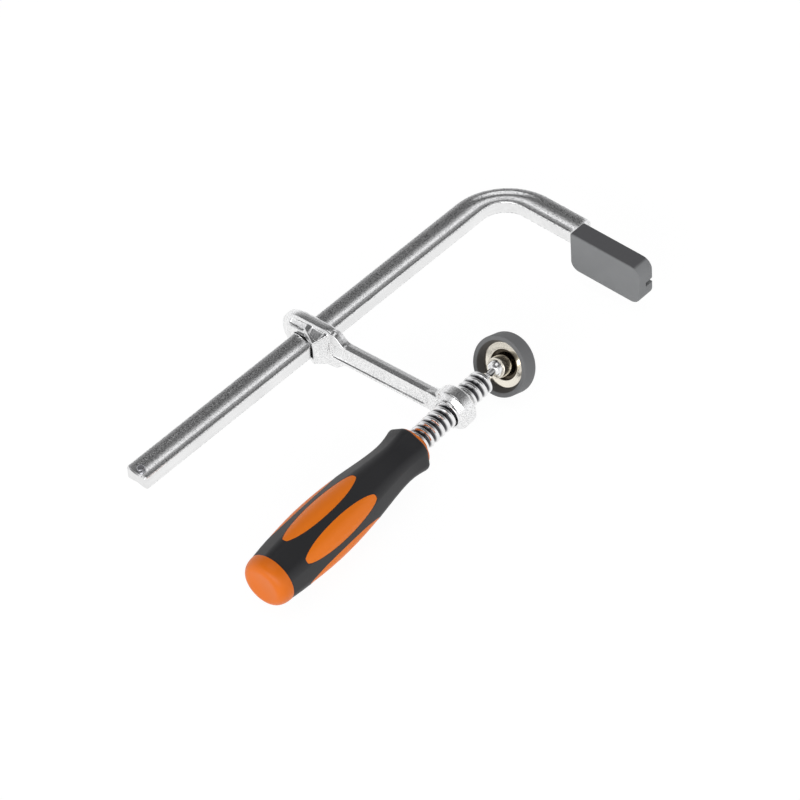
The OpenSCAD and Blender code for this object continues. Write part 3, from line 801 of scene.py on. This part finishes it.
# The screw, with its ball in front and its tang in the handle. Profiles are [x, radius].
screwSizes = {
    "crest": 8.0, "root": 6.3, "pitch": 5.0, "crestWidth": 1.5, "flank": 0.95,
    "crestRound": 0.22, "rootRound": 0.5, "roundSteps": 3, "steps": 48, "weld": 0.001, "merge": 0.004,
    "front": 29.3, "back": -36.8, "ball": 4.4, "neck": 2.4, "ballSteps": 24,
    "blankProfile": [(-36.8, 0), (-36.8, 6.2), (-35.4, 8.3), (27.3, 8.3),
                     (28.95, 6.1), (29.3, 5.7), (29.3, 0)],
    "neckProfile": [(29.0, 0), (29.0, 5.3), (29.9, 5.0), (31.5, 3.4), (32.9, 2.65), (34.1, 2.4)],
    "neckRounds": [0, 0.3, 0.4, 1.2, 1.2], "neckSteps": 4,
    "tangProfile": [(-143.2, 0), (-143.2, 4.6), (-142.6, 5.2), (-63.4, 5.2),
                    (-63.4, 6.0), (-36.4, 6.0), (-36.4, 0)],
    "turnSteps": 64, "tangSteps": 48,
    "runouts": [(-37.0, -35.2), (27.1, 29.1)],  # where the thread is cut to a chamfer
    "flat": math.radians(1.5), "runoutFlat": math.radians(9), "smooth": 32,
}


def makeThread(s):
    # one pitch of the profile, screwed along the X axis with a spare turn at each end, then cut to
    # length with chamfered ends
    pitch = s["pitch"]
    crest = s["crestWidth"] / 2
    flank = crest + s["flank"]
    start = pitch * math.floor(s["back"] / pitch) - pitch
    turns = math.ceil((s["front"] - start) / pitch) + 2
    corners = [(-pitch / 2, s["root"]), (-flank, s["root"]), (-crest, s["crest"]), (crest, s["crest"]),
               (flank, s["root"]), (pitch / 2, s["root"])]
    rounds = [0, s["rootRound"], s["crestRound"], s["crestRound"], s["rootRound"], 0]
    profile = rounded(corners, rounds, s["roundSteps"])
    piece = outline("screwBar", [((x + start) * mm, r * mm, 0) for x, r in profile])
    objectMode()
    modifier = piece.modifiers.new("thread", "SCREW")
    modifier.axis = "X"
    modifier.angle = 2 * math.pi
    modifier.screw_offset = pitch * mm
    modifier.iterations = turns
    modifier.steps = s["steps"]
    modifier.render_steps = s["steps"]
    modifier.use_merge_vertices = True
    modifier.merge_threshold = s["weld"] * mm
    apply(piece, modifier)
    clean(piece, s["merge"] * mm)
    # the stepped ends are closed, and cut off below
    edit(piece)
    bpy.ops.mesh.select_all(action="SELECT")
    bpy.ops.mesh.region_to_loop()
    bpy.ops.mesh.fill()
    clean(piece, s["merge"] * mm)
    return combine(piece, turned("threadBlank", s["blankProfile"], s["turnSteps"]), "INTERSECT")


def inRunout(s, x):
    return any(low * mm < x < high * mm for low, high in s["runouts"])


def pickDoubled():
    # selects each face that another lies against, corner for corner
    bpy.ops.mesh.select_mode(type="FACE")
    bpy.ops.mesh.select_all(action="DESELECT")
    shape = bmesh.from_edit_mesh(bpy.context.object.data)
    found = {}
    for face in shape.faces:
        found.setdefault(frozenset(vert.index for vert in face.verts), []).append(face)
    for twins in found.values():
        if len(twins) > 1:
            for face in twins:
                face.select_set(True)
    bmesh.update_edit_mesh(bpy.context.object.data)


def makeSpindle(s):
    piece = makeThread(s)
    front = list(s["neckProfile"])
    meet = math.asin(s["neck"] / s["ball"])
    for k in range(s["ballSteps"] + 1):
        a = math.pi - meet - (math.pi - meet) * k / s["ballSteps"]
        front.append((layout["ballOut"] + s["ball"] * math.cos(a), s["ball"] * math.sin(a)))
    tip = turned("ballTip", rounded(front, s["neckRounds"], s["neckSteps"]), s["turnSteps"])
    combine(piece, tip, "UNION")
    combine(piece, turned("tang", s["tangProfile"], s["tangSteps"]), "UNION")
    # the booleans leave slivers, most of them where the thread runs out
    edit(piece)
    bpy.ops.mesh.select_all(action="SELECT")
    bpy.ops.mesh.dissolve_limited(angle_limit=s["flat"])
    pick(lambda p: inRunout(s, p.x))
    bpy.ops.mesh.dissolve_limited(angle_limit=s["runoutFlat"])
    bpy.ops.mesh.select_all(action="SELECT")
    bpy.ops.mesh.quads_convert_to_tris(quad_method="BEAUTY", ngon_method="BEAUTY")
    pickDoubled()
    bpy.ops.mesh.delete(type="ONLY_FACE")
    bpy.ops.mesh.select_all(action="SELECT")
    bpy.ops.mesh.delete_loose()
    clean(piece)
    settle(piece, screwFrame, s["smooth"])
    return piece


spindle = makeSpindle(screwSizes)
dress(spindle, "spindle", "spindle", finishes["screw"])
print("spindle made")


# The handle is an orange core with a black grip moulded over it. Profiles are [x, radius].
handleSizes = {
    "gripBack": -163.2,
    "profile": [(0, 16.0), (2.5, 16.35), (8, 17.0), (16, 17.75), (24, 18.4), (32, 18.9), (40, 19.15),
                (47, 19.1), (54, 18.9), (62, 18.45), (70, 17.8), (78, 16.95), (86, 15.95), (93, 15.05),
                (100, 14.3), (105, 13.95), (109, 13.85), (113, 14.05), (117, 14.6), (120, 15.2),
                (121.6, 15.55), (122.6, 15.6), (123.3, 15.35), (123.8, 14.7)],
    "sides": 6, "sideReach": 1.075, "sideRound": 0.275, "sideSteps": 12, "roll": math.radians(-4.3),
    "gripBore": [(-164.2, 0), (-164.2, 11.0), (-38.4, 11.0), (-38.4, 0)], "boreSteps": 64,
    # inlays: long ovals with blunt tips, sunk a little below the grip
    "inlayMiddle": 45.2, "inlayHalf": 31.0, "inlayWidth": 6.75, "inlayTip": math.radians(76),
    "inlayCurve": 1.1, "inlaySteps": 12, "inlaySink": 0.12, "inlayGap": 0.04,
    "inlayFloor": 10.5, "cutterHeight": 14,
    # core, from the grip's back to the front collar
    "coreProfile": [(-162.7, 0), (-162.7, 10.98), (-39.4, 10.98), (-39.4, 13.2),
                    (-38.3, 13.2), (-37.65, 12.95), (-37.4, 12.3), (-37.4, 0)], "coreSteps": 72,
    # butt: its root, its dome out to the flat end, and its slightly hollow middle
    "buttRoot": [(-162.6, 0), (-162.6, 10.0), (-163.2, 10.0)], "buttEnd": [(-171.3, 6.6), (-171.2, 0)],
    "butt": 8.6, "buttRadius": 15.95, "buttFlat": 9.6, "domeSteps": 14, "domeDepth": 1.15, "domeSide": 0.9,
    "tangHole": [(-144.2, 0), (-144.2, 5.3), (-63.4, 5.3), (-63.4, 6.1), (-35, 6.1), (-35, 0)],
    "holeSteps": 48, "smooth": 30,
}


def gripBody(s, name, profile, back):
    # a softly six-sided bar, drawn out ring by ring
    first = profile[0][1]
    objectMode()
    bpy.ops.mesh.primitive_circle_add(vertices=s["sides"], radius=first * s["sideReach"] * mm,
                                      fill_type="NGON")
    piece = named(name)
    edit(piece)
    bpy.ops.mesh.select_all(action="SELECT")
    bpy.ops.mesh.bevel(affect="VERTICES", offset=first * s["sideRound"] * mm,
                       segments=s["sideSteps"], profile=0.5)
    bpy.ops.mesh.select_all(action="SELECT")
    bpy.ops.transform.rotate(value=-math.pi / 2, orient_axis="Y", center_override=(0, 0, 0))
    bpy.ops.transform.rotate(value=-s["roll"] - math.pi / s["sides"], orient_axis="X",
                             center_override=(0, 0, 0))
    bpy.ops.transform.translate(value=((back + profile[0][0]) * mm, 0, 0))
    for (x0, r0), (x1, r1) in zip(profile, profile[1:]):
        bpy.ops.mesh.extrude_region_move(TRANSFORM_OT_translate={"value": ((x1 - x0) * mm, 0, 0)})
        bpy.ops.transform.resize(value=(r1 / r0,) * 3, center_override=((back + x1) * mm, 0, 0))
    clean(piece)
    return piece


def inlayCutter(s, k, grow):
    # a long oval prism standing on one face of the grip, grown all round by grow
    side = []
    for j in range(2 * s["inlaySteps"] + 1):
        a = s["inlayTip"] * (j / s["inlaySteps"] - 1)
        side.append((s["inlayHalf"] * math.sin(a) / math.sin(s["inlayTip"]),
                     s["inlayWidth"] * math.cos(a) ** s["inlayCurve"]))
    loop = softened(side + [(x, -y) for x, y in reversed(side)])
    loop = [(x * (1 + grow / s["inlayHalf"]), y * (1 + grow / s["inlayWidth"])) for x, y in loop]
    middle = s["gripBack"] + s["inlayMiddle"]
    piece = outline("inlayCutter", [((middle + x) * mm, y * mm, s["inlayFloor"] * mm) for x, y in loop])
    bpy.ops.mesh.select_all(action="SELECT")
    bpy.ops.mesh.edge_face_add()
    bpy.ops.mesh.extrude_region_move(TRANSFORM_OT_translate={"value": (0, 0, s["cutterHeight"] * mm)})
    bpy.ops.mesh.select_all(action="SELECT")
    turn = s["roll"] + k * 2 * math.pi / s["sides"]
    bpy.ops.transform.rotate(value=-turn, orient_axis="X", center_override=(0, 0, 0))
    bpy.ops.mesh.normals_make_consistent(inside=False)
    objectMode()
    return piece


def makeButt(s):
    dome = []
    for k in range(s["domeSteps"] + 1):
        a = math.pi / 2 * k / s["domeSteps"]
        x = s["gripBack"] - s["butt"] * (1 - (1 - math.sin(a)) ** s["domeDepth"])
        dome.append((x, s["buttFlat"] + (s["buttRadius"] - s["buttFlat"]) * math.cos(a) ** s["domeSide"]))
    return turned("butt", s["buttRoot"] + dome + s["buttEnd"])


def makeHandle(s):
    grip = gripBody(s, "handleGrip", s["profile"], s["gripBack"])
    combine(grip, turned("gripBore", s["gripBore"], s["boreSteps"]), "DIFFERENCE")
    core = turned("handleCore", s["coreProfile"], s["coreSteps"])
    sunk = [(x, r - s["inlaySink"]) for x, r in s["profile"]]
    for k in range(s["sides"]):
        combine(grip, inlayCutter(s, k, 0.0), "DIFFERENCE")
        inlay = gripBody(s, "inlay", sunk, s["gripBack"])
        combine(inlay, inlayCutter(s, k, -s["inlayGap"]), "INTERSECT")
        combine(core, inlay, "UNION")
    combine(core, makeButt(s), "UNION")
    combine(core, turned("tangHole", s["tangHole"], s["holeSteps"]), "DIFFERENCE")
    for piece in (grip, core):
        clean(piece)
        settle(piece, screwFrame, s["smooth"])
    return grip, core


handleGrip, handleCore = makeHandle(handleSizes)
dress(handleGrip, "spindle", "handle_grip", finishes["grip"])
dress(handleCore, "spindle", "handle_core", finishes["orange"])
print("handle made")


# The pad is a nickel plate in a rubber cap. Here x runs out along the pad's axis from the ball's middle.
padSizes = {
    "rim": 2.4, "face": 13.6, "radius": 18.9, "rimWidth": 2.8, "faceThick": 2.0, "seat": 1.7,
    "plate": 15.4, "plateGap": 0.05, "plateThick": 4.5, "recess": 9.4, "recessDepth": 2.7,
    "hub": 6.4, "hubRoot": 7.2, "lip": 1.1, "socket": 5.25, "socketSteps": 16,
    "capRounds": [0, 0.3, 0.6, 0.7, 1.3, 0], "plateRounds": [0, 0.6, 0.5, 0.4, 0.5, 0.1],
    "roundSteps": 5, "smooth": 30,
}


def makePad(s):
    front = s["face"] - s["faceThick"]
    back = front - s["plateThick"]
    inner = s["radius"] - s["rimWidth"]
    shell = rounded([(back, s["plate"]), (back, s["plate"] - s["seat"]), (s["rim"], inner),
                     (s["rim"], s["radius"]), (s["face"], s["radius"]), (s["face"], 0)],
                    s["capRounds"], s["roundSteps"])
    cap = turned("padCap", shell + [(front, 0), (front, s["plate"]), (back, s["plate"])])
    mouth = math.acos(-s["lip"] / s["socket"])
    socket = []
    for k in range(s["socketSteps"] + 1):
        a = mouth * k / s["socketSteps"]
        socket.append((s["socket"] * math.cos(a), s["socket"] * math.sin(a)))
    floor = back + s["recessDepth"]
    edge = s["plate"] - s["plateGap"]
    flange = rounded([socket[-1], (-s["lip"], s["hub"]), (floor, s["hubRoot"]), (floor, s["recess"]),
                      (back, s["recess"]), (back, edge), (front, edge), (front, 0)],
                     s["plateRounds"], s["roundSteps"])
    plate = turned("pressurePlate", socket + flange[1:])
    for piece in (cap, plate):
        settle(piece, padFrame, s["smooth"])
    return cap, plate


padCap, pressurePlate = makePad(padSizes)
dress(padCap, "pressure_pad", "pad_cap", finishes["padCap"])
dress(pressurePlate, "pressure_pad", "pressure_plate", finishes["nickel"])
print("pad made")

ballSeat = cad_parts["ball_seat"]
ballSeat.data.materials.clear()
ballSeat.data.materials.append(finishes["screw"])


# The studio, in metres. The sky's levels run from the horizon, 0, to straight up, 1.
studio = {
    "floorDrop": 0.3 * mm, "floorSize": 6.0, "floorMiddle": (-0.1, 0.05), "floorShade": (0.94, 0.94, 0.94),
    "floorGlow": 0.88, "glow": 1.07,
    "sky": [(0.0, 1.0), (0.25, 1.0), (0.42, 0.80), (0.55, 0.50),
            (0.66, 0.34), (0.74, 0.22), (0.90, 0.09), (0.96, 1.0), (1.0, 1.0)],
    "skyBlue": 1.01,
    "keyPlace": (-2.2, -0.9, 0.8), "keyTarget": (-0.12, 0.04, 0), "keySize": (2.4, 1.2), "keyPower": 20,
    "cameraPlace": (-1.34539, -1.16813, 1.66687),
    "cameraTurn": (0.78793116, 0.05421963, -0.83793338),
    "sensor": 36, "lens": 183.495, "clip": (0.1, 20),
}


def makeFloor(s):
    objectMode()
    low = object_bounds()[0].z - s["floorDrop"]
    bpy.ops.mesh.primitive_plane_add(size=s["floorSize"], location=(*s["floorMiddle"], low))
    floor = named("floor")
    shader = Shader(bpy.data.materials.new("paleFloor"))
    lit = shader.add("ShaderNodeBsdfDiffuse", {}, {"Color": colour(*s["floorShade"])})
    glow = shader.add("ShaderNodeEmission", {}, {"Color": colour(1, 1, 1), "Strength": s["glow"]})
    cameraRay = shader.add("ShaderNodeLightPath", output="Is Camera Ray")
    glossyRay = shader.add("ShaderNodeLightPath", output="Is Glossy Ray")
    seen = cameraRay.math("MAXIMUM", glossyRay)
    surface = shader.add("ShaderNodeMixShader", {}, {0: seen * s["floorGlow"], 1: lit, 2: glow})
    shader.add("ShaderNodeOutputMaterial", {}, {"Surface": surface})
    floor.data.materials.append(shader.owner)
    floor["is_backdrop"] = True


def makeLamp(s):
    light = bpy.data.lights.new("keyBox", "AREA")
    light.shape = "RECTANGLE"
    light.size, light.size_y = s["keySize"]
    light.energy = s["keyPower"]
    holder = bpy.data.objects.new("keyBox", light)
    bpy.context.scene.collection.objects.link(holder)
    holder.location = s["keyPlace"]
    aim = Vector(s["keyTarget"]) - Vector(s["keyPlace"])
    holder.rotation_euler = aim.to_track_quat("-Z", "Y").to_euler()


def makeWorld(s):
    # white to the camera, while the steel sees white low down, dark above and a bright patch overhead
    world = bpy.data.worlds.new("studio")
    bpy.context.scene.world = world
    shader = Shader(world)
    x, y, z = shader.split(shader.add("ShaderNodeTexCoord", output="Generated"))
    stops = [(place, colour(level, level, level * s["skyBlue"])) for place, level in s["sky"]]
    shade = shader.add("ShaderNodeValToRGB", {"stops": stops}, {0: z})
    sky = shader.add("ShaderNodeBackground", {}, {"Color": shade, "Strength": 1.0})
    white = shader.add("ShaderNodeBackground", {}, {"Color": colour(1, 1, 1), "Strength": 1.0})
    seen = shader.add("ShaderNodeLightPath", output="Is Camera Ray")
    surface = shader.add("ShaderNodeMixShader", {}, {0: seen, 1: sky, 2: white})
    shader.add("ShaderNodeOutputWorld", {}, {"Surface": surface})


def makeCamera(s):
    lens = bpy.data.cameras.new("camera")
    lens.sensor_width = s["sensor"]
    lens.lens = s["lens"]
    lens.clip_start, lens.clip_end = s["clip"]
    camera = bpy.data.objects.new("camera", lens)
    bpy.context.scene.collection.objects.link(camera)
    camera.location = s["cameraPlace"]
    camera.rotation_euler = s["cameraTurn"]
    bpy.context.scene.camera = camera


makeFloor(studio)
makeLamp(studio)
makeWorld(studio)
makeCamera(studio)
bpy.context.scene.view_settings.view_transform = "Standard"
print("studio made")
